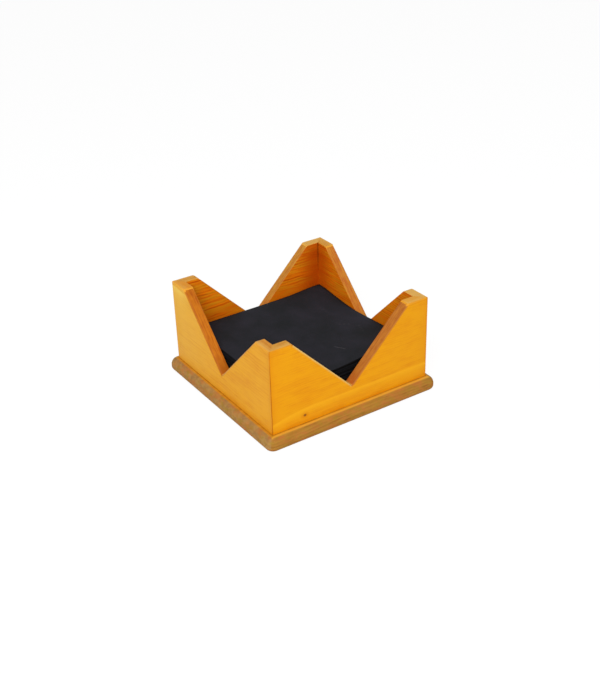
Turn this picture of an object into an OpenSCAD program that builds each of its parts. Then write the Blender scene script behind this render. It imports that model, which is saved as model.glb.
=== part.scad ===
// Square wooden napkin holder with V-notched, mitred walls, filled with folded paper napkins.
// Millimetres. +Z is up, the front board faces -Y, and the origin is the middle of the underside.

/* [Napkins] */
// Side of one napkin after it is folded in quarters
napkin_side = 164; // [120:1:200]
// Thickness of one folded napkin as it lies in the stack
napkin_t = 1.3; // [1:0.1:1.6]
// Number of napkins in the stack
napkin_count = 30; // [10:1:40]
// Furthest that a napkin lies off the middle of the stack
napkin_shift = 1; // [0:0.1:1.1]
// Furthest that a napkin is turned from square, in degrees
napkin_turn = 0.25; // [0:0.05:0.3]

/* [Walls] */
// Room between the napkins and each wall
napkin_room = 2; // [1.8:0.1:5]
// Thickness of the wall boards
wall_t = 11; // [9:0.5:16]
// Height of the wall boards above the base board
wall_h = 92; // [75:1:130]
// Height above the base board at which the slopes of a V notch would meet
sill_h = 22; // [15:0.5:40]
// Length of the flat top from an outside corner to the notch
corner_flat = 25.5; // [16:0.5:40]
// Radius at the bottom of the notch
notch_root_r = 1.2; // [0.5:0.1:4]

/* [Base board] */
// Distance that the base board reaches past the walls
base_overhang = 8.5; // [7:0.5:20]
// Thickness of the base board
base_t = 15; // [13:0.5:22]
// Radius of the rounded upper edge
base_top_r = 8.5; // [2:0.5:8.5]
// Radius of the rounded lower edge
base_bottom_r = 5; // [2:0.5:6]
// Radius of the board's corners, seen from above
base_corner_r = 8.5; // [6:0.5:20]

/* [Corner splines] */
// Thickness of the loose tongue in each mitre
spline_t = 3; // [2:0.5:4]
// Height of the tongue above the base board
spline_h = 70; // [40:1:72]
// Distance from the inside corner to the tongue, along the mitre
spline_setback = 4.5; // [3:0.5:5]
// Least wood that is left outside the tongue
spline_cover = 2; // [1.5:0.1:2.5]

/* [Screws] */
// Diameter of the wood screws
screw_d = 3.5; // [3:0.5:4]
// Length of the wood screws
screw_len = 35; // [30:5:40]
// Diameter of the countersunk head
screw_head_d = 7; // [6.5:0.5:8]
// Depth of the head below the underside
screw_recess = 1; // [0.5:0.1:2]
// Distance from an outside corner of the box to its nearest screw
screw_inset = 40; // [32:1:60]
// Rise of the thread in one turn
thread_pitch = 2; // [1.5:0.1:2.5]

/* [Hidden] */
$fn = 48;
overcut = 1;
// Steps round the arc at the bottom of a notch
root_steps = 8;
// Least upright side between the base board's rounded edges
edge_land = 1;
// Clearances, each on the radius
shank_clearance = 0.2;
pilot_clearance = 0.02;
head_clearance = 0.05;

inner_w = napkin_side + 2 * napkin_room;
box_w = inner_w + 2 * wall_t;
base_w = box_w + 2 * base_overhang;

notch_half = box_w / 2 - corner_flat;
notch_depth = wall_h - sill_h;
notch_half_angle = atan2(notch_half, notch_depth);

edge_bottom_r = min(base_bottom_r, base_corner_r);
edge_top_r = min(base_top_r, base_corner_r, base_overhang, base_t - edge_bottom_r - edge_land);

mitre_len = wall_t * sqrt(2);
spline_inner = mitre_len - spline_setback;
spline_half_w = spline_inner - spline_t - spline_cover * sqrt(2);

screw_x = box_w / 2 - screw_inset;
screw_y = box_w / 2 - wall_t / 2;
screw_top = screw_recess + screw_len;
screw_tip = 2 * screw_d;
screw_head_h = (screw_head_d - screw_d) / 2;
thread_start = base_t + thread_pitch;
thread_depth = 0.18 * screw_d;
thread_turns = floor((screw_top - screw_tip - thread_start) / thread_pitch);
drive_w = 0.14 * screw_head_d;
drive_span = 0.62 * screw_head_d;
drive_depth = 0.6 * screw_head_h;

// A folded napkin is four leaves of paper
leaf_t = napkin_t / 4;
leaf_nick = 0.5;

wood = [0.90, 0.58, 0.10];
wood_shade = [0.86, 0.55, 0.14];
edge_wood = [0.68, 0.46, 0.20];
beech = [0.80, 0.64, 0.42];
steel = [0.72, 0.73, 0.75];
black_paper = [0.17, 0.15, 0.18];

walls = ["front", "right", "back", "left"];
corners = ["front_left", "front_right", "back_right", "back_left"];

function quarter_turn(i) = 90 * i;
function two_digits(i) = str(i < 10 ? "0" : "", i);
function board_name(i) = str(walls[i], "_board");
function spline_name(i) = str("spline_", corners[i]);
function napkin_name(i) = str("napkin_", two_digits(i));

// Where each napkin lies, by a fixed rule, so that the stack is neat and not perfect
function napkin_x(i) = napkin_shift * sin(137 * i);
function napkin_y(i) = napkin_shift * cos(101 * i + 40);
function napkin_angle(i) = napkin_turn * sin(197 * i);

// ---- Base board ----

// Half of the board's section, rounded above and below at x = reach; it starts a little before x = 0
module edge_section(reach) {
    module slab(width, low, high)
        translate([-overcut, low])
            square([width + overcut, high - low]);
    module quarter_round(r, middle, low)
        intersection() {
            translate([reach - r, middle])
                circle(r = r);
            translate([reach - r, low])
                square(r);
        }
    slab(reach - edge_top_r, 0, base_t);
    slab(reach - edge_bottom_r, 0, base_t - edge_top_r);
    slab(reach, edge_bottom_r, base_t - edge_top_r);
    quarter_round(edge_top_r, base_t - edge_top_r, base_t - edge_top_r);
    quarter_round(edge_bottom_r, edge_bottom_r, 0);
}

module rounded_board() {
    straight = base_w - 2 * base_corner_r;
    for (side = [0:3])
        rotate([0, 0, quarter_turn(side)]) {
            translate([-straight / 2, 0, 0])
                rotate([90, 0, 90])
                    linear_extrude(straight)
                        edge_section(base_w / 2);
            translate([straight / 2, straight / 2, 0])
                rotate_extrude()
                    intersection() {
                        edge_section(base_corner_r);
                        square([base_corner_r, base_t]);
                    }
        }
}

module screw_places() {
    for (side = [0:3], end = [-1, 1])
        rotate([0, 0, quarter_turn(side)])
            translate([end * screw_x, -screw_y, 0])
                children();
}

module screw_hole() {
    head_r = screw_head_d / 2 + head_clearance;
    shank_r = screw_d / 2 + shank_clearance;
    translate([0, 0, -overcut])
        cylinder(h = base_t + 2 * overcut, r = shank_r);
    translate([0, 0, -overcut])
        cylinder(h = screw_recess + overcut, r = head_r);
    translate([0, 0, screw_recess])
        cylinder(h = head_r - shank_r, r1 = head_r, r2 = shank_r);
}

module base_board() {
    color(edge_wood)
        difference() {
            rounded_board();
            screw_places() screw_hole();
        }
}

// ---- Wall boards ----

// The space that the notch takes out, drawn upright with the board's foot at y = 0
module notch_outline() {
    root_middle = sill_h + notch_root_r / sin(notch_half_angle);
    // The slopes leave the root's arc square to its radius
    root_turn = 180 - 2 * notch_half_angle;
    past = overcut * notch_half / notch_depth;
    polygon(concat(
        [[notch_half + past, wall_h + overcut], [-notch_half - past, wall_h + overcut]],
        [for (step = [0:root_steps])
            let (angle = notch_half_angle - 180 + root_turn * step / root_steps)
            [notch_root_r * cos(angle), root_middle + notch_root_r * sin(angle)]]
    ));
}

// A board's plan, with a mitre of 45 degrees at each end
module mitred_plan() {
    polygon([
        [-box_w / 2, -box_w / 2],
        [box_w / 2, -box_w / 2],
        [inner_w / 2, -inner_w / 2],
        [-inner_w / 2, -inner_w / 2]
    ]);
}

// The tongue in the front left mitre, which stands across the joint
module spline_block() {
    translate([-box_w / 2, -box_w / 2, base_t])
        rotate([0, 0, 45])
            translate([spline_inner - spline_t, -spline_half_w, 0])
                cube([spline_t, 2 * spline_half_w, spline_h]);
}

// The groove for the tongue, open at the board's foot
module spline_groove() {
    translate([0, 0, -overcut])
        spline_block();
    spline_block();
}

module front_wall() {
    difference() {
        translate([0, 0, base_t])
            linear_extrude(wall_h)
                mitred_plan();
        translate([0, overcut - inner_w / 2, base_t])
            rotate([90, 0, 0])
                linear_extrude(wall_t + 2 * overcut)
                    notch_outline();
        spline_groove();
        rotate([0, 0, 90])
            spline_groove();
        for (end = [-1, 1])
            translate([end * screw_x, -screw_y, base_t - overcut])
                cylinder(h = screw_top - base_t + 2 * overcut, r = screw_d / 2 + pilot_clearance);
    }
}

module wall_board(i) {
    color(i % 2 == 0 ? wood : wood_shade)
        rotate([0, 0, quarter_turn(i)])
            front_wall();
}

// ---- What holds the boards together ----

module corner_spline(i) {
    color(beech)
        rotate([0, 0, quarter_turn(i)])
            spline_block();
}

// Half of the screw's outline, from the head's face up to the point
function screw_outline() = concat(
    [[0, screw_recess], [screw_head_d / 2, screw_recess], [screw_d / 2, screw_recess + screw_head_h]],
    [[screw_d / 2, thread_start]],
    [for (turn = [0:thread_turns - 1], part = [0:1])
        [screw_d / 2 - (part == 0 ? thread_depth : 0), thread_start + (turn + 0.5 * (part + 1)) * thread_pitch]],
    [[screw_d / 2 - thread_depth, screw_top - screw_tip], [0, screw_top]]
);

module wood_screw() {
    difference() {
        rotate_extrude()
            polygon(screw_outline());
        for (angle = [0, 90])
            rotate([0, 0, angle])
                translate([-drive_span / 2, -drive_w / 2, screw_recess - overcut])
                    cube([drive_span, drive_w, drive_depth + overcut]);
    }
}

module base_screws() {
    color(steel)
        screw_places() wood_screw();
}

// ---- Napkins ----

// Four leaf ends, one above the other, with a nick between each two; they end at x = 0
module leaf_ends() {
    for (leaf = [0:3])
        translate([-leaf_nick, leaf * leaf_t])
            polygon([[0, 0], [leaf_nick, leaf_t / 4], [leaf_nick, 3 * leaf_t / 4], [0, leaf_t]]);
}

// A napkin's section: a number of round folds at the low end, and the open leaf ends at the other
module napkin_section(folds) {
    fold_r = napkin_t / folds / 2;
    translate([fold_r - napkin_side / 2, 0])
        square([napkin_side - fold_r - leaf_nick, napkin_t]);
    for (fold = [0:folds - 1])
        translate([fold_r - napkin_side / 2, (2 * fold + 1) * fold_r])
            circle(r = fold_r);
    translate([napkin_side / 2, 0])
        leaf_ends();
}

// The first fold shows as two round edges on the left, and the second as one at the front
module folded_napkin() {
    intersection() {
        translate([0, napkin_side / 2 + overcut, 0])
            rotate([90, 0, 0])
                linear_extrude(napkin_side + 2 * overcut)
                    napkin_section(2);
        translate([-napkin_side / 2 - overcut, 0, 0])
            rotate([90, 0, 90])
                linear_extrude(napkin_side + 2 * overcut)
                    napkin_section(1);
    }
}

module napkin(i) {
    color(black_paper)
        translate([napkin_x(i), napkin_y(i), base_t + (i - 1) * napkin_t])
            rotate([0, 0, napkin_angle(i)])
                folded_napkin();
}

base_board();
for (i = [0:3])
    wall_board(i);
for (i = [0:3])
    corner_spline(i);
base_screws();
for (i = [1:napkin_count])
    napkin(i);
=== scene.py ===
"""Square wooden napkin holder with V-notched walls, filled with black paper napkins folded in quarters.

The boards, the tongues in the mitres and the screws are the frame's own pieces, which get their arrises
and their finishes here. Each napkin is one folded sheet that takes the place of the frame's plain solid.
Lengths are in metres, and a name that ends in _mm holds millimetres, in which the finishes are drawn.
"""

import logging
import math
from dataclasses import dataclass
from enum import Enum
from typing import Any, Mapping, Sequence

import bpy
from mathutils import Matrix, Vector


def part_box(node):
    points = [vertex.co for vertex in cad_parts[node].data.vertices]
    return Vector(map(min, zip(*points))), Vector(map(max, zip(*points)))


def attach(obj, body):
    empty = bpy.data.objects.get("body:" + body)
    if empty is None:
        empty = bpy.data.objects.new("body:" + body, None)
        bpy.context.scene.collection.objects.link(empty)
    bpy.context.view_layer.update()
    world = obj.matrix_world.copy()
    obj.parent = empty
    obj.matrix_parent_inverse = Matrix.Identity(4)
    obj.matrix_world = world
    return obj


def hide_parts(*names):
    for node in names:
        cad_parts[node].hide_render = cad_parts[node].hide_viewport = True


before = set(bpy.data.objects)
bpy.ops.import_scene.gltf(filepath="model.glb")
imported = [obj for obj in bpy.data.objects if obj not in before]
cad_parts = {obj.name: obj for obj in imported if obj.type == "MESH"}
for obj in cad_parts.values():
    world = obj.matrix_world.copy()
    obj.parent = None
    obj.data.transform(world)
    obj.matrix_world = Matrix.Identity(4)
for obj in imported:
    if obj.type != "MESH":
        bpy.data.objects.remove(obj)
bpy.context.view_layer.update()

log = logging.getLogger("napkin_holder")

MM = 1000.0
NOISE_MEAN = 0.5
# The sign along a board of its left end and of its right one, as seen from outside
ENDS = (-1, 1)

Colour = tuple[float, float, float]
Point = tuple[float, float, float]
Pair = tuple[float, float]
WHITE: Colour = (1.0, 1.0, 1.0)


def srgb(red: int, green: int, blue: int) -> Colour:
    """Turns a colour written as 0 to 255 into linear light.

    Args:
        red: Red, 0 to 255.
        green: Green, 0 to 255.
        blue: Blue, 0 to 255.

    Returns:
        The three linear values, 0 to 1.
    """

    def linear(level: int) -> float:
        """Turns one channel into linear light, by the curve of the sRGB standard."""
        share = level / 255
        return share / 12.92 if share <= 0.04045 else ((share + 0.055) / 1.055) ** 2.4

    return linear(red), linear(green), linear(blue)


def put(name: str, data: bpy.types.ID) -> bpy.types.Object:
    """Makes an object of a mesh, lamp or camera, and adds it to the scene.

    Args:
        name: The object's name.
        data: The mesh, lamp or camera.

    Returns:
        The object.
    """
    made = bpy.data.objects.new(name, data)
    bpy.context.scene.collection.objects.link(made)
    return made


# ---- Node maths ----


class Signal:
    """A value or a vector of a node tree, on which Python's operators add Math and Vector Math nodes."""

    def __init__(self, graph: "Graph", socket: bpy.types.NodeSocket | None) -> None:
        """Wraps one output socket of a graph, or None for a node that has no output."""
        self.graph = graph
        self.socket = socket

    def _maths(self, operation: str, *terms: "Term") -> "Signal":
        """Adds a Math node, or a Vector Math node for a vector.

        Args:
            operation: The node's operation.
            terms: Its inputs in order, of which this signal is one.

        Returns:
            The node's result.
        """
        vector = any(isinstance(t, Signal) and t.socket.type == "VECTOR" for t in terms)
        kind = "ShaderNodeVectorMath" if vector else "ShaderNodeMath"
        wide = [(t, t, t) if vector and isinstance(t, (int, float)) else t for t in terms]
        return self.graph.add(kind, {"operation": operation}, dict(enumerate(wide)))

    def __add__(self, other: "Term") -> "Signal":
        """Returns self + other."""
        return self._maths("ADD", self, other)

    __radd__ = __add__

    def __sub__(self, other: "Term") -> "Signal":
        """Returns self - other."""
        return self._maths("SUBTRACT", self, other)

    def __rsub__(self, other: "Term") -> "Signal":
        """Returns other - self."""
        return self._maths("SUBTRACT", other, self)

    def __mul__(self, other: "Term") -> "Signal":
        """Returns self * other."""
        return self._maths("MULTIPLY", self, other)

    __rmul__ = __mul__

    def __truediv__(self, other: "Term") -> "Signal":
        """Returns self / other."""
        return self._maths("DIVIDE", self, other)

    def __rtruediv__(self, other: "Term") -> "Signal":
        """Returns other / self."""
        return self._maths("DIVIDE", other, self)

    def __abs__(self) -> "Signal":
        """Returns the size of a value."""
        return self._maths("ABSOLUTE", self)

    def fraction(self) -> "Signal":
        """Returns what is left of a value after its whole part."""
        return self._maths("FRACT", self)

    def at_least(self, floor: "Term") -> "Signal":
        """Returns the greater of a value and a floor."""
        return self._maths("MAXIMUM", self, floor)

    def at_most(self, ceiling: "Term") -> "Signal":
        """Returns the lesser of a value and a ceiling."""
        return self._maths("MINIMUM", self, ceiling)

    def below(self, limit: "Term") -> "Signal":
        """Returns 1 where a value is below a limit and 0 elsewhere."""
        return self._maths("LESS_THAN", self, limit)

    def clamped(self) -> "Signal":
        """Returns a value held between 0 and 1."""
        return self.at_least(0).at_most(1)

    def swing(self, reach: float) -> "Signal":
        """Returns how far a noise is from its mean, times a reach."""
        return (self - NOISE_MEAN) * reach

    def decay(self) -> "Signal":
        """Returns e to the power of minus a value."""
        return self._maths("EXPONENT", self * -1.0)

    def ramp(self, low: float, high: float) -> "Signal":
        """Rises smoothly from 0 where a value is low to 1 where it is high.

        Args:
            low: The value that gives 0.
            high: The value that gives 1, which may be less than low.

        Returns:
            The smooth step.
        """
        low_first = low < high
        step = self.graph.add(
            "ShaderNodeMapRange",
            {"interpolation_type": "SMOOTHSTEP"},
            {"Value": self, "From Min": min(low, high), "From Max": max(low, high)},
        )
        return step if low_first else 1 - step


Term = Signal | float | int | Sequence[float]


class Graph:
    """A node tree, with a single method that adds any node."""

    def __init__(self, tree: bpy.types.NodeTree) -> None:
        """Empties a node tree, to build in it."""
        self.tree = tree
        self.tree.nodes.clear()

    def add(
        self,
        kind: str,
        settings: Mapping[str, Any] | None = None,
        inputs: Mapping[str | int, Term] | None = None,
        output: str | int = 0,
    ) -> Signal:
        """Adds a node.

        Args:
            kind: The node's type.
            settings: Its settings, which are set before its inputs.
            inputs: The value or link of each input, by name or by place.
            output: The output wanted, by name or by place.

        Returns:
            That output.
        """
        node = self.tree.nodes.new(kind)
        for name, value in (settings or {}).items():
            setattr(node, name, value)
        for name, value in (inputs or {}).items():
            socket = node.inputs[name]
            if isinstance(value, Signal):
                self.tree.links.new(value.socket, socket)
            elif socket.type == "RGBA" and not isinstance(value, (int, float)) and len(value) == 3:
                socket.default_value = (*value, 1.0)
            else:
                socket.default_value = value
        return Signal(self, node.outputs[output] if len(node.outputs) else None)

    def split(self, vector: Signal) -> tuple[Signal, Signal, Signal]:
        """Returns a vector's X, Y and Z."""
        x, y, z = self.add("ShaderNodeSeparateXYZ", inputs={0: vector}).socket.node.outputs
        return Signal(self, x), Signal(self, y), Signal(self, z)


class Shader(Graph):
    """One material's or world's shader."""

    def __init__(self, owner: bpy.types.Material | bpy.types.World) -> None:
        """Starts an empty shader.

        Args:
            owner: The material or world to build in.
        """
        owner.use_nodes = True
        super().__init__(owner.node_tree)
        self.owner = owner

    def blend(self, share: Term, first: Term, second: Term) -> Signal:
        """Returns the first colour with a share of the second mixed in."""
        # A Mix node keeps its colour sockets after its number and vector ones
        return self.add("ShaderNodeMix", {"data_type": "RGBA"}, {0: share, 6: first, 7: second}, output=2)

    def noise(self, place: Signal, grain: Point, detail: float = 2.0, seed: float = 0.0) -> Signal:
        """Draws noise whose lumps have a given size along each axis.

        Args:
            place: The place, as a vector.
            grain: The size of a lump along X, Y and Z, in the place's units.
            detail: How many finer layers lie on top.
            seed: A shift that gives another draw.

        Returns:
            The noise, from 0 to 1 round its mean.
        """
        scaled = place * tuple(1 / size for size in grain) + (seed, 1.7 * seed, -seed)
        inputs = {"Vector": scaled, "Scale": 1.0, "Detail": detail, "Roughness": 0.55}
        return self.add("ShaderNodeTexNoise", {"noise_dimensions": "3D"}, inputs)

    def place_mm(self) -> Signal:
        """Returns the place on the object, in millimetres."""
        return self.add("ShaderNodeTexCoord", output="Object") * MM

    def join(self, x: Term, y: Term, z: Term) -> Signal:
        """Returns the vector of three values."""
        return self.add("ShaderNodeCombineXYZ", inputs={0: x, 1: y, 2: z})

    def upward(self) -> Signal:
        """Returns the Z part of the object's own normal: 1 on a top, 0 on an upright face."""
        return self.split(self.add("ShaderNodeTexCoord", output="Normal"))[2]

    def relief(self, height: Term, depth: float) -> Signal:
        """Returns the normal that a height from 0 to 1 bends, where 1 stands out by a depth in metres."""
        return self.add("ShaderNodeBump", inputs={"Strength": 1.0, "Distance": depth, "Height": height})

    def surface(self, **sockets: Term) -> Signal:
        """Returns a Principled shader with these inputs, named with _ for each space."""
        inputs = {name.replace("_", " "): value for name, value in sockets.items()}
        return self.add("ShaderNodeBsdfPrincipled", inputs=inputs)

    def coat(self, **sockets: Term) -> bpy.types.Material:
        """Puts a Principled shader with these inputs on the output, and returns the material."""
        self.finish(self.surface(**sockets))
        return self.owner

    def finish(self, shader: Signal, kind: str = "ShaderNodeOutputMaterial") -> None:
        """Puts a finished shader on an output node of this kind."""
        self.add(kind, inputs={"Surface": shader})


# ---- Finishes ----


class Side(Enum):
    """The four walls, by the quarter turns that bring the front one round to each."""

    FRONT = 0
    RIGHT = 1
    BACK = 2
    LEFT = 3

    @property
    def node(self) -> str:
        """The frame's name for this wall's board."""
        return f"{self.name.lower()}_board"

    @property
    def turn(self) -> float:
        """The angle by which the front wall turns round to this one."""
        return math.radians(90 * self.value)

    @property
    def outward(self) -> Vector:
        """The direction in which this wall's outer face looks."""
        return Matrix.Rotation(self.turn, 3, "Z") @ Vector((0, -1, 0))


class Part(Enum):
    """The two parts of a board's surface that are finished apart."""

    FACE = "face"
    ARRIS = "arris"


@dataclass(frozen=True)
class PaleBand:
    """A smooth pale band where the saw ran along a growth ring.

    Attributes:
        height_mm: Height of the band's upper edge above the board's foot.
        width_mm: How far down the pale wood fades out.
        dip_mm: How far that edge has sunk by the end of the dip's run to the left.
        from_mm: Where along the board the dip starts.
        until_mm: Where along the board the band ends.
        run_mm: Length of the dip's run.
    """

    height_mm: float
    width_mm: float
    dip_mm: float
    from_mm: float
    until_mm: float
    run_mm: float = 50.0


@dataclass(frozen=True)
class Knot:
    """A pin knot, by its place along the board and above its foot, stretched along the grain."""

    along_mm: float
    height_mm: float
    radius_mm: float = 1.6
    stretch: float = 1.25


class BoardWood(Shader):
    """A wall board's shader, with what its colours are worked out from at each place.

    Attributes:
        place: The place in millimetres, as if the board were the front one.
        along, across, height: Its parts along the board, through it and up from its foot.
        off_joint: Its distance from the mitre.
        inside, level, on_top: 1 on the inner face, on a level surface or by the flat top.
        facing: 1 where the surface looks up and 0 where it is upright.
        fibre, cloud, dapple, patchy: Noise along the grain, and in large, middling and small lumps.
        late: The share of dark late wood.
        swell: A soft wave, 1 where one ring meets the next and 0 between.
        pale: The share of the paler wood in the pale band.
    """

    def __init__(self, name: str, finish: "BoardFinish") -> None:
        """Finds the place on the board, and draws the noise and the growth rings.

        Args:
            name: The material's name.
            finish: The board's finish.
        """
        super().__init__(bpy.data.materials.new(name))
        self.seed = finish.seed
        self.place = self.add(
            "ShaderNodeVectorRotate",
            {"rotation_type": "Z_AXIS"},
            {"Vector": self.place_mm(), "Angle": -finish.side.turn},
        )
        self.along, self.across, up = self.split(self.place)
        self.height = up - finish.foot_mm
        self.off_joint = abs(abs(self.along) - abs(self.across))
        self.inside = self.across.ramp(finish.inner_face_mm - 0.6, finish.inner_face_mm - 0.2)
        self.facing = self.upward()
        self.level = self.facing.ramp(0.8, 0.95)
        self.on_top = self.height.ramp(finish.top_mm - 3, finish.top_mm - 1.5)
        self.fibre = self.draw((40, 1.2, 0.8), detail=3)
        self.cloud = self.draw((70, 30, 22), shift=3)
        self.dapple = self.draw((16, 8, 6), shift=25)
        self.patchy = self.draw((8, 4, 8), shift=9)
        self.late, self.swell, self.pale = self._rings(finish)

    def draw(self, grain: Point, detail: float = 2.0, shift: float = 0.0) -> Signal:
        """Returns noise at the place, with the board's seed moved on by a shift of its own."""
        return self.noise(self.place, grain, detail, self.seed + shift)

    def _rings(self, finish: "BoardFinish") -> tuple[Signal, Signal, Term]:
        """Draws the growth rings, which run level and drift slowly through the board's thickness.

        Args:
            finish: The board's finish.

        Returns:
            The late wood, the swell and the pale band.
        """
        wander = self.draw((90, 40, 30), detail=1, shift=11).swing(8)
        ripple = self.draw((16, 14, 7), detail=1, shift=23).swing(3.2)
        level = self.height + self.across * finish.ring_tilt + wander + ripple
        calm, pale = 0.0, 0.0
        band = finish.band
        if band:
            sunk = ((band.from_mm - self.along) / band.run_mm).at_least(0)
            dip = sunk * sunk * band.dip_mm
            beneath = band.height_mm - dip - self.height
            level = level + dip * (abs(beneath) / 25).decay()
            depth = beneath.at_least(0) / band.width_mm
            under = beneath.ramp(-0.8, 1.2) * self.along.ramp(band.until_mm + 20, band.until_mm - 4)
            calm = under * (depth / 3).decay()
            pale = under * depth.decay() * 0.75 + calm * 0.25
        ring = (level / finish.ring_gap_mm).fraction()
        line = ring * ring * ring.ramp(1.0, 0.72)
        uneven = self.draw((60, 8, 5), detail=1, shift=13).ramp(0.25, 0.75)
        late = line * (0.7 + uneven * 1.4) * (1 - calm * 0.9)
        return late, abs(ring * 2 - 1).ramp(0.1, 0.9), pale


@dataclass(frozen=True)
class BoardFinish:
    """Honey-coloured varnish on a softwood board with fine level growth rings.

    A pair gives the board's left end and then its right one, as seen from outside.

    Attributes:
        foot_mm: Height of the board's foot, above which top_mm and root_mm are the flat top and the root.
        inner_face_mm: Where the inner face lies across the board.
        ring_tilt: How steeply the rings cross the board's thickness.
        stained_and_shaded_ends: How far the inner face darkens near each end, partly staining and partly
            painted shade of the corner.
        painted_sheen_end: How far the outer face pales towards its left end, a painted sheen on the
            varnish.
        lit_flats: How far the flat at each end is paler.
        slope_arris_wear_and_light: How far the arrises of each slope take the colours in
            wear_and_painted_light, partly worn varnish and partly painted highlight and shade.
        face_shine, arris_shine: The varnish's specular level.
    """

    side: Side
    foot_mm: float
    top_mm: float
    root_mm: float
    inner_face_mm: float
    seed: float
    ring_gap_mm: float = 2.4
    ring_tilt: float = 0.3
    stained_and_shaded_ends: Pair = (0.4, 0.4)
    painted_sheen_end: float = 0.0
    lit_flats: Pair = (0.0, 0.0)
    slope_arris_wear_and_light: Pair = (0.0, 0.0)
    # For each end's slope arrises: a painted highlight where pale and painted shade where dark, partly worn
    # varnish.
    wear_and_painted_light: tuple[Colour, Colour] = (srgb(255, 216, 124), srgb(150, 78, 6))
    relief: float = 0.00006
    face_shine: float = 0.1
    arris_shine: float = 0.15
    band: PaleBand | None = None
    knot: Knot | None = None
    early: Colour = srgb(238, 162, 6)
    late: Colour = srgb(221, 126, 3)
    inner_early: Colour = srgb(236, 156, 22)
    inner_red: Colour = srgb(250, 134, 12)
    inner_late: Colour = srgb(208, 88, 3)
    sloped: Colour = srgb(210, 126, 40)
    sloped_late: Colour = srgb(178, 92, 26)
    flat: Colour = srgb(230, 168, 68)
    flat_late: Colour = srgb(206, 132, 42)
    flat_pale: Colour = srgb(238, 186, 94)
    flat_lit: Colour = srgb(234, 186, 98)
    root: Colour = srgb(200, 100, 22)
    # Paler arrises: partly sanded wood and partly painted highlight.
    arris: Colour = srgb(252, 186, 70)
    # Pale wood for the pale band, and also the painted sheen towards the left end.
    pale_wood_and_sheen: Colour = srgb(246, 178, 24)
    # Darker towards the inner corners: partly staining and partly painted shade.
    corner_stain_and_shade: Colour = srgb(188, 76, 3)
    joint: Colour = srgb(198, 112, 6)
    inner_joint: Colour = srgb(104, 44, 4)
    knot_dark: Colour = srgb(120, 66, 14)

    def material(self, part: Part) -> bpy.types.Material:
        """Makes the finish of one part of the board's surface.

        Args:
            part: The faces or the arrises.

        Returns:
            The material.
        """
        wood = BoardWood(f"varnish_{self.side.name.lower()}_{part.value}", self)
        arris = part is Part.ARRIS
        sawn = wood.facing.ramp(0.4, 0.6)
        sloping = wood.facing.ramp(0.1, 0.45) * (1 - wood.on_top) if arris else sawn
        slope, flat = self._cut_faces(wood)
        colour = wood.blend(wood.inside, self._outer_face(wood), self._inner_face(wood))
        colour = wood.blend(sloping, colour, slope)
        colour = wood.blend(wood.level, colour, flat)
        if arris:
            colour = self._paint_arris_wear_and_light(wood, colour)
        colour = self._glue_mitres(wood, colour)
        return wood.coat(
            Base_Color=colour,
            Roughness=0.4 + sawn * 0.12 + wood.fibre.swing(0.2),
            Normal=wood.relief(wood.fibre * 0.6 + wood.late * 0.4, self.relief),
            Specular_IOR_Level=self.arris_shine if arris else self.face_shine,
        )

    def _outer_face(self, wood: BoardWood) -> Signal:
        """Colours the outer face, darker along its rings, by the mitres and by its foot.

        Args:
            wood: The board's shader.

        Returns:
            The face's colour.
        """
        fleck = wood.draw((5, 0.8, 0.5), detail=1, shift=5).ramp(0.62, 0.78)
        rings = wood.late * 0.34 + wood.swell * 0.1
        grain = rings + wood.fibre.swing(1.4) + wood.cloud.swing(0.9) + wood.dapple.swing(0.9) + fleck * 0.2
        grain = grain.at_least((wood.off_joint / 5).decay() * (0.3 + wood.cloud * 0.5)).at_most(1)
        grain = grain.at_least(0) + (wood.height / 6).decay() * 0.45
        colour = wood.blend(grain, self.early, self.late)
        # Painted sheen on the varnish: the outer face pales towards its left end.
        colour = wood.blend(wood.along.ramp(20, -80) * self.painted_sheen_end, colour, self.pale_wood_and_sheen)
        colour = wood.blend(wood.pale, colour, self.pale_wood_and_sheen)
        return self._set_knot(wood, colour) if self.knot else colour

    def _set_knot(self, wood: BoardWood, colour: Signal) -> Signal:
        """Lays the pin knot over the outer face.

        Args:
            wood: The board's shader.
            colour: The face's colour.

        Returns:
            The colour with the knot.
        """
        knot = self.knot
        off = wood.join((wood.along - knot.along_mm) / knot.stretch, 0, wood.height - knot.height_mm)
        away = wood.add("ShaderNodeVectorMath", {"operation": "LENGTH"}, {0: off}, output="Value")
        halo = away.ramp(3.2 * knot.radius_mm, knot.radius_mm)
        core = away.ramp(1.2 * knot.radius_mm, 0.3 * knot.radius_mm)
        return wood.blend(core, wood.blend(halo * 0.5, colour, self.late), self.knot_dark)

    def _inner_face(self, wood: BoardWood) -> Signal:
        """Colours the inner face, redder than the outer one and darker towards its ends, partly staining
        and partly painted shade of the corners.

        Args:
            wood: The board's shader.

        Returns:
            The face's colour.
        """
        broad = wood.draw((60, 2.6, 2.0), shift=15)
        uneven = wood.draw((24, 5, 4), detail=1, shift=19).ramp(0.3, 0.7)
        streaks = wood.swell * (0.3 + uneven * 0.5) + broad.swing(1.7) + wood.fibre.swing(0.4) + 0.1
        streaks = streaks.at_least(wood.height.ramp(60, 42) * (0.25 + wood.cloud * 0.8)).at_most(1)
        wavy = wood.place + wood.join(0, 0, wood.cloud * 9 + wood.patchy * 2)
        redder = wood.noise(wavy, (26, 3.2, 2.6), detail=2, seed=self.seed + 27).ramp(0.4, 0.6)
        colour = wood.blend(redder, self.inner_early, self.inner_red)
        colour = wood.blend(streaks, colour, self.inner_late)
        fading_near_top = 1 - wood.height.ramp(self.top_mm - 16, self.top_mm - 3) * 0.4
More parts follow.
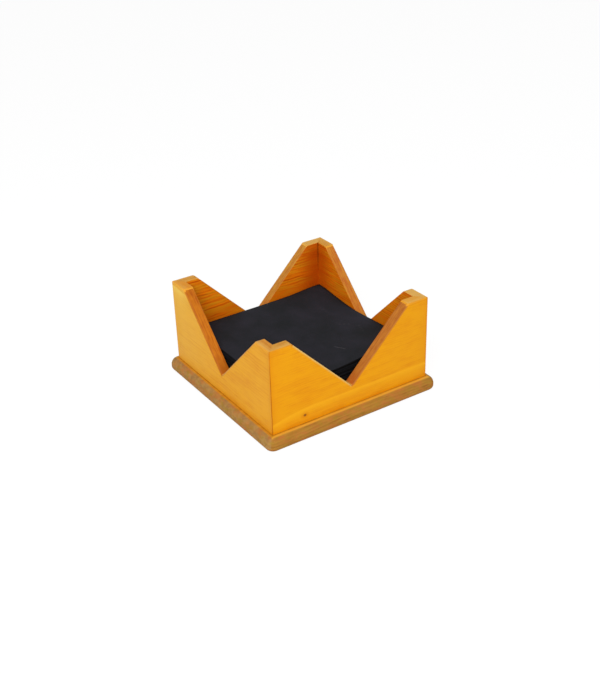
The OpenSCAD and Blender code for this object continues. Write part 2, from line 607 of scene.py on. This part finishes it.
        # Each end darkens towards its inner corner, partly staining and partly painted shade, less so near
        # the top.
        for end, strength in zip(ENDS, self.stained_and_shaded_ends):
            from_corner = abs(self.inner_face_mm + end * wood.along)
            near = from_corner.ramp(34, 4) * (0.5 + wood.cloud) * (1.1 - streaks * 0.3)
            colour = wood.blend(near * fading_near_top * strength, colour, self.corner_stain_and_shade)
        return colour

    def _cut_faces(self, wood: BoardWood) -> tuple[Signal, Signal]:
        """Colours the notch's slopes and the flats beside them.

        Args:
            wood: The board's shader.

        Returns:
            The slopes' colour and the flats' colour.
        """
        # The saw crosses the growth rings at a slant, so that they run down the slopes as long streaks
        layers = wood.draw((26, 1.1, 26), shift=7)
        grain = (layers.swing(2.4) + wood.patchy.swing(1.6) + 0.42).clamped()
        # The slopes grow darker towards the notch's root.
        darker_towards_root = wood.height.ramp(self.root_mm + 18, self.root_mm) * (0.3 + wood.patchy)
        outer_rim = wood.across.ramp(self.inner_face_mm - 4, self.inner_face_mm - 10)
        slope = wood.blend(grain, self.sloped, self.sloped_late)
        flat = wood.blend(grain, self.flat, self.flat_late)
        for end, strength in zip(ENDS, self.lit_flats):
            flat = wood.blend((end * wood.along).ramp(0, 2) * strength, flat, self.flat_lit)
        # The flats' outer part is paler in patches, partly paler wood and partly painted highlight.
        flat = wood.blend(outer_rim * (wood.cloud * 1.4 - 0.3), flat, self.flat_pale)
        return wood.blend(darker_towards_root, slope, self.root), flat

    def _paint_arris_wear_and_light(self, wood: BoardWood, colour: Signal) -> Signal:
        """Lays paler edges over the arrises' colour, partly sanded wood and worn varnish and partly painted
        highlight and shade.

        Args:
            wood: The board's shader.
            colour: The arrises' colour.

        Returns:
            The colour with the rubbed edges.
        """
        edge = wood.facing.ramp(0.1, 0.4) * (1 - wood.level)
        # The arrises are paler, most by the flat top: partly sanded wood and partly painted highlight.
        colour = wood.blend(edge * (0.03 + wood.on_top * 0.45), colour, self.arris)
        for end, strength, wear_and_painted_light, lit in zip(ENDS, self.slope_arris_wear_and_light, self.wear_and_painted_light, self.lit_flats):
            # At each end the slopes' arrises take a painted highlight where their colour is pale and
            # painted shade where it is dark, partly worn varnish.
            at_end = edge * (end * wood.along).ramp(0, 2)
            colour = wood.blend(at_end * (1 - wood.on_top) * strength, colour, wear_and_painted_light)
            colour = wood.blend(at_end * wood.on_top * lit * 0.5, colour, self.flat_lit)
        return colour

    def _glue_mitres(self, wood: BoardWood, colour: Signal) -> Signal:
        """Draws the glue lines along the mitres, outside and inside.

        Args:
            wood: The board's shader.
            colour: The board's colour.

        Returns:
            The colour with the glue lines.
        """
        shown = wood.height.ramp(self.top_mm - 10, self.top_mm - 34) * 0.7 + 0.3
        shown = shown + wood.height.ramp(self.top_mm - 10, self.top_mm - 4) * 0.5
        shown = shown * (0.4 + wood.dapple * 1.2)
        glue = wood.off_joint.ramp(1.6, 0.2) * (0.52 - wood.level * 0.47) * (1 - wood.inside) * shown
        colour = wood.blend(glue, colour, self.joint)
        glue = wood.off_joint.ramp(2.2, 0.2) * wood.inside * (1 - wood.level) * wood.height.ramp(52, 80)
        return wood.blend(glue * 0.5, colour, self.inner_joint)


@dataclass(frozen=True)
class BaseFinish:
    """A base board varnished by the walls, with a duller brown rounded edge and a bare underside.

    Attributes:
        wall_mm: How far the walls' outer faces lie from the middle.
        overhang_mm: How far the base board reaches beyond them.
    """

    wall_mm: float
    overhang_mm: float
    seed: float = 21.0
    ring_gap_mm: float = 3.1
    relief: float = 0.0001
    varnished: Colour = srgb(214, 153, 38)
    varnished_late: Colour = srgb(194, 123, 22)
    seam: Colour = srgb(160, 88, 12)
    rim: Colour = srgb(222, 164, 58)
    edge: Colour = srgb(175, 125, 48)
    edge_late: Colour = srgb(140, 86, 30)
    end_grain: Colour = srgb(179, 141, 84)
    end_grain_late: Colour = srgb(155, 117, 72)
    ruddy: Colour = srgb(184, 112, 52)
    olive: Colour = srgb(158, 122, 38)
    under: Colour = srgb(196, 154, 104)
    under_late: Colour = srgb(170, 124, 76)

    def material(self) -> bpy.types.Material:
        """Makes the base board's finish.

        Returns:
            The material.
        """
        shader = Shader(bpy.data.materials.new("base_varnish"))
        place = shader.place_mm()
        x, across, up = shader.split(place)
        out = (abs(x).at_least(abs(across)) - self.wall_mm) / self.overhang_mm
        at_end = (abs(x) - abs(across)).ramp(-1, 1)

        wander = shader.noise(place, (140, 40, 30), detail=1, seed=self.seed).swing(12)
        ring = ((across * 0.35 + up * 0.9 + wander) / self.ring_gap_mm).fraction()
        rings = ring * ring * ring.ramp(1.0, 0.85)
        fibre = shader.noise(place, (26, 0.8, 0.8), detail=3, seed=self.seed + 2)
        mottle = shader.noise(place, (14, 6, 4), detail=3, seed=self.seed + 4)
        ruddy = shader.noise(place, (11, 11, 4), detail=3, seed=self.seed + 6).ramp(0.45, 0.65)
        olive = shader.noise(place, (10, 10, 4), detail=3, seed=self.seed + 8).ramp(0.48, 0.68)
        grain = (rings * 0.5 + (fibre - 0.4) * 1.1 + mottle.swing(1.4)).clamped()

        facing = shader.upward()
        topside = (out + at_end * 0.1).ramp(0.52, 0.28) * facing.ramp(0, 0.5)
        underside = facing.ramp(-0.9, -0.985)
        rounded = shader.blend(grain, self.edge, self.edge_late)
        sawn_end = shader.blend(mottle.ramp(0.3, 0.7), self.end_grain, self.end_grain_late)
        rounded = shader.blend(at_end * 0.75, rounded, sawn_end)
        rounded = shader.blend(ruddy * 0.65, rounded, self.ruddy)
        rounded = shader.blend(olive * 0.65, rounded, self.olive)
        top = shader.blend(grain + at_end * 0.35, self.varnished, self.varnished_late)
        seam = out.ramp(0.2, 0.0) * (0.1 + mottle * 0.5)
        top = shader.blend(seam, top, self.seam)
        # A paler rim along the top's outer edge, partly varnish worn thin and partly painted highlight,
        # weaker on the ends.
        wear_and_painted_light = out.ramp(0.08, 0.3) * (0.95 - at_end * 0.8) * (1.1 - mottle * 0.4)
        colour = shader.blend(topside, rounded, shader.blend(wear_and_painted_light, top, self.rim))
        colour = shader.blend(underside, colour, shader.blend(grain, self.under, self.under_late))

        return shader.coat(
            Base_Color=colour,
            Roughness=0.62 - topside * 0.2 + fibre.swing(0.2),
            Normal=shader.relief(fibre * 0.7 + rings * 0.3, self.relief),
            Specular_IOR_Level=0.1,
        )


@dataclass(frozen=True)
class BeechFinish:
    """Bare beech, with the short dark flecks that tell it apart, for the tongues in the mitres."""

    plain: Colour = srgb(214, 176, 126)
    darker: Colour = srgb(190, 146, 98)

    def material(self) -> bpy.types.Material:
        """Makes the tongues' finish.

        Returns:
            The material.
        """
        shader = Shader(bpy.data.materials.new("bare_beech"))
        place = shader.place_mm()
        fibre = shader.noise(place, (0.7, 0.7, 18), detail=3, seed=2)
        fleck = shader.noise(place, (0.5, 0.5, 2.6), detail=1, seed=6).ramp(0.64, 0.74)
        colour = shader.blend((fibre * 0.6 + fleck * 0.5).at_most(1), self.plain, self.darker)
        return shader.coat(Base_Color=colour, Roughness=0.6 + fibre * 0.2)


@dataclass(frozen=True)
class SteelFinish:
    """Bright wood screws, with marks round their shanks and duller patches."""

    plain: Colour = srgb(200, 202, 206)
    dull: Colour = srgb(150, 152, 156)
    relief: float = 0.00002

    def material(self) -> bpy.types.Material:
        """Makes the screws' finish.

        Returns:
            The material.
        """
        shader = Shader(bpy.data.materials.new("bright_steel"))
        place = shader.place_mm()
        marks = shader.noise(place, (2.4, 2.4, 0.12), detail=2, seed=4)
        worn = shader.noise(place, (1.5, 1.5, 1.5), detail=3, seed=8)
        colour = shader.blend(worn.ramp(0.4, 0.7), self.plain, self.dull)
        return shader.coat(
            Base_Color=colour,
            Metallic=1.0,
            Roughness=0.28 + marks * 0.2,
            Normal=shader.relief(marks, self.relief),
        )


@dataclass(frozen=True)
class Crease:
    """A short pale crease in the uppermost leaf, from one point to another of its plan.

    A wide one with little strength is a faint smudge.
    """

    start_mm: Pair
    end_mm: Pair
    width_mm: float = 0.9
    strength: float = 0.6


@dataclass(frozen=True)
class TissueFinish:
    """Matte black tissue paper, with soft clouding, fine crinkles and a nap of loose fibres.

    Attributes:
        painted_fold_shade: The colour of painted shade where the paper faces sideways round each fold, and
            on the rims that lie in the dark between two napkins.
        rim_mm: How far from the middle those rims lie.
    """

    dark: Colour = srgb(27, 29, 32)
    worn: Colour = srgb(42, 41, 49)
    painted_fold_shade: Colour = srgb(3, 3, 4)
    crease_pale: Colour = srgb(82, 80, 86)
    rim_mm: float = 81.5
    relief: float = 0.0006

    def material(self, name: str, creases: Sequence[Crease] = ()) -> bpy.types.Material:
        """Makes the napkins' finish.

        Args:
            name: The material's name.
            creases: The creases in the leaf that shows, or none for a napkin that others cover.

        Returns:
            The material.
        """
        shader = Shader(bpy.data.materials.new(name))
        place = shader.place_mm()
        cloud = shader.noise(place, (26, 34, 20), detail=3, seed=31)
        nap = shader.noise(place, (0.8, 0.8, 0.8), detail=3, seed=33)
        crinkle = shader.noise(place, (7, 16, 9), detail=3, seed=37)
        shade = (cloud.swing(2.2) + nap.swing(0.9) + 0.4).clamped()
        colour = shader.blend(shade, self.dark, self.worn)
        # Painted shade: paper that faces sideways, round each fold, takes the dark fold colour.
        colour = shader.blend(abs(shader.upward()).ramp(0.95, 0.6), colour, self.painted_fold_shade)
        if not creases:
            east, north, _ = shader.split(place)
            # Painted shade on the rims of covered napkins, which lie in the dark between two napkins.
            rim = abs(east).at_least(abs(north)).ramp(self.rim_mm - 3, self.rim_mm)
            colour = shader.blend(rim * 0.8, colour, self.painted_fold_shade)
        height = crinkle * 0.75 + nap * 0.25
        for crease in creases:
            mark = self._mark(shader, place, crease)
            colour = shader.blend(mark, colour, self.crease_pale)
            height = height + mark * 0.5
        return shader.coat(
            Base_Color=colour,
            Roughness=0.88 + nap * 0.1,
            Normal=shader.relief(height, self.relief),
            Specular_IOR_Level=0.15,
        )

    def _mark(self, shader: Shader, place: Signal, crease: Crease) -> Signal:
        """Draws a crease.

        Args:
            shader: The shader to build in.
            place: The place on the napkin.
            crease: The crease.

        Returns:
            The crease's strength along its middle, and 0 away from it.
        """
        run = Vector(crease.end_mm) - Vector(crease.start_mm)
        ahead = run.normalized()
        x, y, _ = shader.split(place)
        east, north = x - crease.start_mm[0], y - crease.start_mm[1]
        along = east * ahead.x + north * ahead.y
        bent = shader.noise(place, (4, 4, 4), seed=41).swing(2)
        aside = abs(north * ahead.x - east * ahead.y + bent)
        within = along.ramp(0, 3) * along.ramp(run.length, run.length - 3)
        broken = shader.noise(place, (3, 3, 3), detail=1, seed=43).ramp(0.4, 0.55)
        return aside.ramp(crease.width_mm, 0) * within * broken * crease.strength


# ---- Wooden pieces ----


@dataclass
class WoodenBox:
    """The base board, the four wall boards, and the tongues and screws that hold them together.

    Attributes:
        notch_root: Height of a notch's root above the board's foot.
        arris: How far the rounding of an outer edge reaches along each face.
        inner_share, foot_share, corner_share: What other edges of the walls get of it.
        near: How close to a face a point counts as lying on it.
        sharp: The least angle of an edge that is rounded.
        weld: The distance within which points are joined.
        flat: The greatest angle between faces that are made one.
    """

    notch_root: float = 0.022
    arris: float = 0.0018
    inner_share: float = 0.3
    foot_share: float = 0.2
    corner_share: float = 0.25
    tongue_arris: float = 0.0003
    near: float = 0.0002
    sharp: float = math.radians(32)
    weld: float = 0.000002
    flat: float = math.radians(0.5)

    def dress(self) -> None:
        """Gives each wooden piece and the screws their arrises and finishes."""
        base_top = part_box("base_board")[1].z * MM
        for finish in self._board_finishes(base_top):
            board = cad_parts[finish.side.node]
            self._wear(board, finish.material(Part.FACE), finish.material(Part.ARRIS))
            self._soften(board, self.arris, arris_slot=1, weights=self._edge_weights(finish.side))
            log.info("dressed %s", board.name)

        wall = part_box(Side.FRONT.node)[1].x * MM
        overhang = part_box("base_board")[1].x * MM - wall
        base = BaseFinish(wall_mm=wall, overhang_mm=overhang)
        self._wear(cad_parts["base_board"], base.material())
        beech = BeechFinish().material()
        for name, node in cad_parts.items():
            if name.startswith("spline_"):
                self._wear(node, beech)
                self._soften(node, self.tongue_arris)
        self._wear(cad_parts["base_screws"], SteelFinish().material())
        log.info("dressed the base board, the tongues and the screws")

    def _board_finishes(self, base_top_mm: float) -> list[BoardFinish]:
        """Lists the wall boards' finishes.

        Args:
            base_top_mm: Height of the boards' feet.

        Returns:
            One finish for each board.
        """
        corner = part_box(Side.FRONT.node)[1] * MM
        shared = {
            "foot_mm": base_top_mm,
            "top_mm": corner.z - base_top_mm,
            "root_mm": self.notch_root * MM,
            "inner_face_mm": corner.y,
        }
        return [
            BoardFinish(
                side=Side.FRONT, seed=1.0, lit_flats=(0.0, 0.6), slope_arris_wear_and_light=(0.8, 0.5),
                sloped=srgb(202, 126, 46), sloped_late=srgb(172, 94, 34), root=srgb(194, 98, 32),
                flat=srgb(222, 162, 64), flat_late=srgb(200, 128, 44), flat_lit=srgb(246, 176, 60),
                arris=srgb(212, 136, 36),
                band=PaleBand(height_mm=17.5, width_mm=3.5, dip_mm=6, from_mm=-42, until_mm=110),
                knot=Knot(along_mm=-57, height_mm=9),
                **shared,
            ),
            BoardFinish(
                side=Side.RIGHT, seed=9.0, ring_gap_mm=2.6, ring_tilt=-0.35,
                lit_flats=(0.7, 0.0), stained_and_shaded_ends=(0.3, 0.85),
                sloped=srgb(212, 138, 46), sloped_late=srgb(190, 96, 36), root=srgb(196, 136, 44),
                **shared,
            ),
            BoardFinish(
                side=Side.BACK, seed=17.0, ring_gap_mm=3.4, ring_tilt=0.4,
                lit_flats=(0.6, 0.0), stained_and_shaded_ends=(0.92, 0.0),
                sloped=srgb(212, 150, 56), sloped_late=srgb(188, 110, 42), root=srgb(206, 116, 40),
                **shared,
            ),
            BoardFinish(
                side=Side.LEFT, seed=25.0, ring_gap_mm=3.6, ring_tilt=-0.25,
                lit_flats=(0.6, 0.0), slope_arris_wear_and_light=(0.35, 0.35), painted_sheen_end=0.22,
                # The left wall's paler colours are partly the wood's own and partly painted sheen on its
                # varnish.
                early=srgb(239, 171, 36), late=srgb(219, 132, 14), pale_wood_and_sheen=srgb(254, 212, 92),
                sloped=srgb(207, 120, 24), sloped_late=srgb(176, 86, 14), root=srgb(180, 94, 14),
                flat=srgb(222, 154, 56), flat_late=srgb(202, 122, 36), flat_lit=srgb(242, 158, 40),
                arris=srgb(236, 166, 60), wear_and_painted_light=(srgb(164, 88, 6), srgb(255, 216, 124)),
                band=PaleBand(height_mm=87, width_mm=6, dip_mm=-3, from_mm=-60, until_mm=-76),
                **shared,
            ),
        ]

    def _wear(self, node: bpy.types.Object, *materials: bpy.types.Material) -> None:
        """Puts materials in a node's slots.

        Args:
            node: The frame's piece.
            materials: Its materials, the first of which goes on every face that the frame made.
        """
        node.data.materials.clear()
        for material in materials:
            node.data.materials.append(material)

    def _edge_weights(self, side: Side) -> bpy.types.NodeTree:
        """Makes the nodes that say how far each edge of a wall board is rounded.

        The outer edges are rounded most and the inner ones less. The mitres are glued and sanded flush, so
        that their edges stay sharp, apart from a little off the outside corners.

        Args:
            side: The wall.

        Returns:
            The Geometry Nodes tree, which stores each edge's share of the full rounding, and keeps those
            sharp that get none.
        """
        tree = bpy.data.node_groups.new(f"arrises_{side.name.lower()}", "GeometryNodeTree")
        tree.interface.new_socket("Geometry", in_out="INPUT", socket_type="NodeSocketGeometry")
        tree.interface.new_socket("Geometry", in_out="OUTPUT", socket_type="NodeSocketGeometry")
        graph = Graph(tree)
        board = graph.add("NodeGroupInput")
        place = graph.add("GeometryNodeInputPosition")
        outward = graph.add(
            "ShaderNodeVectorMath",
            {"operation": "DOT_PRODUCT"},
            {0: place, 1: tuple(side.outward)},
            output="Value",
        )
        x, y, up = graph.split(place)
        low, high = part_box(side.node)
        face = max(corner.dot(side.outward) for corner in (low, high))
        thickness = min(high.x - low.x, high.y - low.y)
        sharp = 1 - graph.add("GeometryNodeInputMeshEdgeAngle").below(self.sharp)
        inner = outward.below(face - thickness + self.near)
        outer = 1 - outward.below(face - self.near)
        foot = up.below(low.z + self.near)
        mitre = abs(abs(x) - abs(y)).below(self.near)
        free = (1 - inner * (1 - self.inner_share)) * (1 - foot * (1 - self.foot_share))
        share = free * (1 - mitre) + mitre * outer * self.corner_share
        for name, kind, value in (
            ("bevel_weight_edge", "FLOAT", sharp * share),
            ("sharp_edge", "BOOLEAN", sharp * share.below(self.near)),
        ):
            settings = {"data_type": kind, "domain": "EDGE"}
            inputs = {"Geometry": board, "Name": name, "Value": value}
            board = graph.add("GeometryNodeStoreNamedAttribute", settings, inputs)
        graph.add("NodeGroupOutput", inputs={"Geometry": board})
        return tree

    def _soften(
        self,
        node: bpy.types.Object,
        width: float,
        arris_slot: int = -1,
        weights: bpy.types.NodeTree | None = None,
    ) -> None:
        """Rounds a board's sharp edges.

        Args:
            node: The frame's piece.
            width: How far the rounding reaches along each face.
            arris_slot: The slot of the material that the rounded edges get, or -1 for their neighbours'.
            weights: The nodes that say how far each edge is rounded, if that isn't the same for all.
        """
        weld = node.modifiers.new("one_skin", "WELD")
        weld.merge_threshold = self.weld
        merge = node.modifiers.new("whole_faces", "DECIMATE")
        merge.decimate_type = "DISSOLVE"
        merge.angle_limit = self.flat
        if weights:
            node.modifiers.new("edge_weights", "NODES").node_group = weights
        bevel = node.modifiers.new("arrises", "BEVEL")
        bevel.width = width
        bevel.segments = 3
        bevel.limit_method = "WEIGHT" if weights else "ANGLE"
        bevel.angle_limit = self.sharp
        bevel.use_clamp_overlap = False
        bevel.material = arris_slot
        shade = node.modifiers.new("even_shading", "WEIGHTED_NORMAL")
        shade.keep_sharp = True
        shade.weight = 100


# ---- Napkins ----


@dataclass(frozen=True)
class Swell:
    """A place where the stack stands up or has sunk.

    Attributes:
        x, y: Its middle.
        rise: How far the stack's top stands up there, or sinks if it is negative.
        radius: How far it reaches.
        depth_power: How fast it fades down the stack: 1 is evenly, and more keeps it near the top.
    """

    x: float
    y: float
    rise: float
    radius: float
    depth_power: float

    def lift(self, x: float, y: float, share: float) -> float:
        """Returns how far a point is lifted, given its height as a share of the stack's."""
        far = ((x - self.x) ** 2 + (y - self.y) ** 2) / self.radius**2
        return self.rise * math.exp(-far) * max(share, 0.0) ** self.depth_power


@dataclass(frozen=True)
class Hairpin:
    """A line that runs in along one leaf, round a bend and back along the other.

    Attributes:
        upper_end: Where the upper leaf ends.
        lower_end: Where the lower leaf ends.
        centre: Where the bend's centre lies.
        radius: The bend's radius, half the distance between the leaves.
        flats: Steps along each leaf.
        bends: Steps round the bend.
    """

    upper_end: float
    lower_end: float
    centre: float
    radius: float
    flats: int
    bends: int

    def stations(self) -> list[tuple[Vector, Vector]]:
        """Works out the points along the line.

        Returns:
            Each point and the outward normal there, both in the line's own plane.
        """
        upper = [
            self._on_leaf(self.upper_end + (self.centre - self.upper_end) * i / self.flats, 1)
            for i in range(self.flats)
        ]
        bend = []
        for i in range(self.bends + 1):
            angle = math.pi * (0.5 + i / self.bends)
            normal = Vector((math.cos(angle), math.sin(angle)))
            bend.append((Vector((self.centre, 0)) + normal * self.radius, normal))
        lower = [
            self._on_leaf(self.centre + (self.lower_end - self.centre) * i / self.flats, -1)
            for i in range(1, self.flats + 1)
        ]
        return upper + bend + lower

    def _on_leaf(self, x: float, side: int) -> tuple[Vector, Vector]:
        """Returns the point at x on the upper leaf (side 1) or the lower one (-1), and its normal."""
        return Vector((x, side * self.radius)), Vector((0, side))


@dataclass
class NapkinStack:
    """Square napkins, folded in quarters, each as one sheet of paper folded twice.

    Attributes:
        flat_side: Side of the open sheet, which is not used.
        askew: How far a napkin is turned at most, in degrees.
        askew_step: The step in degrees that gives each napkin a turn of its own.
        uneven: How far one leaf's edge is drawn back behind the other's.
        coarse, fine: Steps along each leaf and round each fold, in the stack and in the top napkin.
    """

    flat_side: float = 0.33
    askew: float = 0.25
    askew_step: float = 197.0
    paper: float = 0.00018
    leaves: int = 4
    uneven: float = 0.0007
    coarse: tuple[int, int] = (14, 5)
    fine: tuple[int, int] = (44, 7)
    swells: tuple[Swell, ...] = (
        Swell(0.080, 0.080, 0.003, 0.030, 3),
        Swell(0.082, 0.014, -0.0022, 0.030, 1),
        Swell(0.045, -0.080, 0.0055, 0.038, 5),
    )
    creases: tuple[Crease, ...] = (
        Crease(start_mm=(12.5, -44.0), end_mm=(19.0, -59.5)),
        Crease(start_mm=(52.0, 40.0), end_mm=(55.0, 22.0), width_mm=2.5, strength=0.14),
        Crease(start_mm=(46.0, -6.0), end_mm=(58.0, -15.0), width_mm=3.0, strength=0.14),
        Crease(start_mm=(63.0, -20.0), end_mm=(56.0, -38.0), width_mm=2.0, strength=0.14),
    )

    def build(self) -> None:
        """Builds every napkin that the frame holds, from the bottom of the stack to the top."""
        names = sorted(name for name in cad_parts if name.startswith("napkin_"))
        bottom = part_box(names[0])[0].z
        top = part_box(names[-1])[1].z
        plain = TissueFinish().material("black_tissue")
        creased = TissueFinish().material("black_tissue_top", creases=self.creases)
        for number, name in enumerate(names, start=1):
            uppermost = name == names[-1]
            sheet = self._sheet(name, number, bottom, top, self.fine if uppermost else self.coarse)
            sheet.data.materials.append(creased if uppermost else plain)
            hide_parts(name)
            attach(sheet, "top_napkin" if uppermost else "napkin_stack")
        log.info("folded %d napkins", len(names))

    def _sheet(
        self, node: str, number: int, bottom: float, top: float, steps: tuple[int, int]
    ) -> bpy.types.Object:
        """Folds one napkin.

        Args:
            node: The frame's name for it.
            number: Its number in the stack, from 1 at the bottom.
            bottom: Height of the stack's foot.
            top: Height of the stack's top.
            steps: Steps along each leaf and round each fold.

        Returns:
            The napkin.
        """
        low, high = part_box(node)
        middle = (low + high) / 2
        angle = math.radians(self.askew * math.sin(math.radians(self.askew_step * number)))
        side = (high.x - low.x) / (math.cos(angle) + abs(math.sin(angle)))
        pitch = (high.z - low.z) / self.leaves
        half = side / 2 - self.paper / 2
        flats, bends = steps
        # The first fold makes a pair of leaves, and the second folds that pair round
        first = Hairpin(half, half - self.uneven, pitch / 2 - half, pitch / 2, flats, bends).stations()
        second = Hairpin(half - self.uneven, half, 1.5 * pitch - half, pitch, flats, bends).stations()
        place = Matrix.Translation(middle) @ Matrix.Rotation(angle, 4, "Z")
        points = []
        for across, _ in first:
            for around, normal in second:
                spot = around + normal * across.y
                flat = place @ Vector((across.x, spot.x, spot.y))
                share = (flat.z - bottom) / (top - bottom)
                flat.z += sum(swell.lift(flat.x, flat.y, share) for swell in self.swells)
                points.append(flat)
        rows, columns = len(first), len(second)
        faces = [
            (r * columns + c, r * columns + c + 1, (r + 1) * columns + c + 1, (r + 1) * columns + c)
            for r in range(rows - 1)
            for c in range(columns - 1)
        ]
        mesh = bpy.data.meshes.new(f"{node}_sheet")
        mesh.from_pydata(points, [], faces)
        mesh.shade_smooth()
        sheet = put(f"{node}_sheet", mesh)
        thick = sheet.modifiers.new("paper", "SOLIDIFY")
        thick.thickness = self.paper
        thick.offset = 0
        return sheet


# ---- Studio ----


@dataclass(frozen=True)
class Lamp:
    """A square soft lamp that points at the object."""

    name: str
    place: Point
    side: float
    watts: float


@dataclass
class Studio:
    """A white floor and sky, soft lamps, and the camera.

    Attributes:
        aim: The point that the camera and the lamps look at.
        azimuth, elevation, roll, distance: How the camera stands to it.
        floor_shown: The share of the floor's glow in what the camera sees of it.
        sky: Strength of the sky's light on the object.
    """

    aim: Point = (0.00062, -0.00159, 0.05092)
    azimuth: float = math.radians(-33.0513)
    elevation: float = math.radians(28.7224)
    roll: float = math.radians(-1.75)
    distance: float = 1.15127
    lens_mm: float = 58.434
    sensor_mm: float = 36.0
    floor_half: float = 12.0
    floor_white: Colour = (0.86, 0.86, 0.86)
    floor_shown: float = 0.82
    floor_glow: float = 1.1
    sky: float = 0.38
    lamps: tuple[Lamp, ...] = (
        Lamp("key_lamp", (-1.1, -1.2, 1.4), 1.2, 32.0),
        Lamp("fill_lamp", (1.2, -1.3, 1.2), 1.4, 3.5),
    )

    def build(self) -> None:
        """Sets up everything round the object."""
        bpy.context.scene.view_settings.view_transform = "Standard"
        self._camera()
        self._world()
        self._floor()
        for lamp in self.lamps:
            self._lamp(lamp)
        log.info("set up the studio")

    def _camera(self) -> None:
        """Puts the camera where the photograph was taken from."""
        level = math.cos(self.elevation)
        back = Vector(
            (math.sin(self.azimuth) * level, -math.cos(self.azimuth) * level, math.sin(self.elevation))
        )
        right = (-back).cross(Vector((0, 0, 1))).normalized()
        turned = Matrix.Rotation(-self.roll, 3, -back)
        right = turned @ right
        up = back.cross(right)
        camera = put("camera", bpy.data.cameras.new("camera"))
        camera.data.sensor_width = self.sensor_mm
        camera.data.lens = self.lens_mm
        camera.matrix_world = Matrix.Translation(Vector(self.aim) + back * self.distance) @ Matrix(
            (right, up, back)
        ).transposed().to_4x4()
        bpy.context.scene.camera = camera

    def _world(self) -> None:
        """Lights the object with a soft sky, which the camera, gloss and glass see at full white."""
        shader = Shader(bpy.data.worlds.new("white_sky"))
        bpy.context.scene.world = shader.owner
        path = shader.add("ShaderNodeLightPath").socket.node
        seen = Signal(shader, path.outputs["Is Camera Ray"])
        for ray in ("Is Glossy Ray", "Is Transmission Ray"):
            seen = seen.at_least(Signal(shader, path.outputs[ray]))
        lighting = shader.add("ShaderNodeBackground", inputs={"Color": WHITE, "Strength": self.sky})
        shown = shader.add("ShaderNodeBackground", inputs={"Color": WHITE, "Strength": 1.0})
        mixed = shader.add("ShaderNodeMixShader", inputs={0: seen, 1: lighting, 2: shown})
        shader.finish(mixed, "ShaderNodeOutputWorld")

    def _floor(self) -> None:
        """Lays a white floor, which shows nearly white and keeps a faint shadow."""
        shader = Shader(bpy.data.materials.new("studio_floor"))
        camera_ray = shader.add("ShaderNodeLightPath", output="Is Camera Ray")
        matte = shader.surface(Base_Color=self.floor_white, Roughness=0.95, Specular_IOR_Level=0.0)
        glow = shader.add("ShaderNodeEmission", inputs={"Color": WHITE, "Strength": self.floor_glow})
        share = camera_ray * self.floor_shown
        shader.finish(shader.add("ShaderNodeMixShader", inputs={0: share, 1: matte, 2: glow}))
        h = self.floor_half
        mesh = bpy.data.meshes.new("studio_floor")
        mesh.from_pydata([(-h, -h, 0), (h, -h, 0), (h, h, 0), (-h, h, 0)], [], [(0, 1, 2, 3)])
        mesh.materials.append(shader.owner)
        ground = put("studio_floor", mesh)

    def _lamp(self, lamp: Lamp) -> None:
        """Hangs a lamp.

        Args:
            lamp: The lamp.
        """
        light = bpy.data.lights.new(lamp.name, "AREA")
        light.size = lamp.side
        light.energy = lamp.watts
        hung = put(lamp.name, light)
        hung.location = lamp.place
        hung.rotation_euler = (Vector(self.aim) - Vector(lamp.place)).to_track_quat("-Z", "Y").to_euler()


def main() -> None:
    """Builds the studio and dresses the object, piece by piece."""
    logging.basicConfig(level=logging.INFO, format="%(name)s: %(message)s")
    Studio().build()
    WoodenBox().dress()
    NapkinStack().build()


if __name__ == "__main__":
    main()
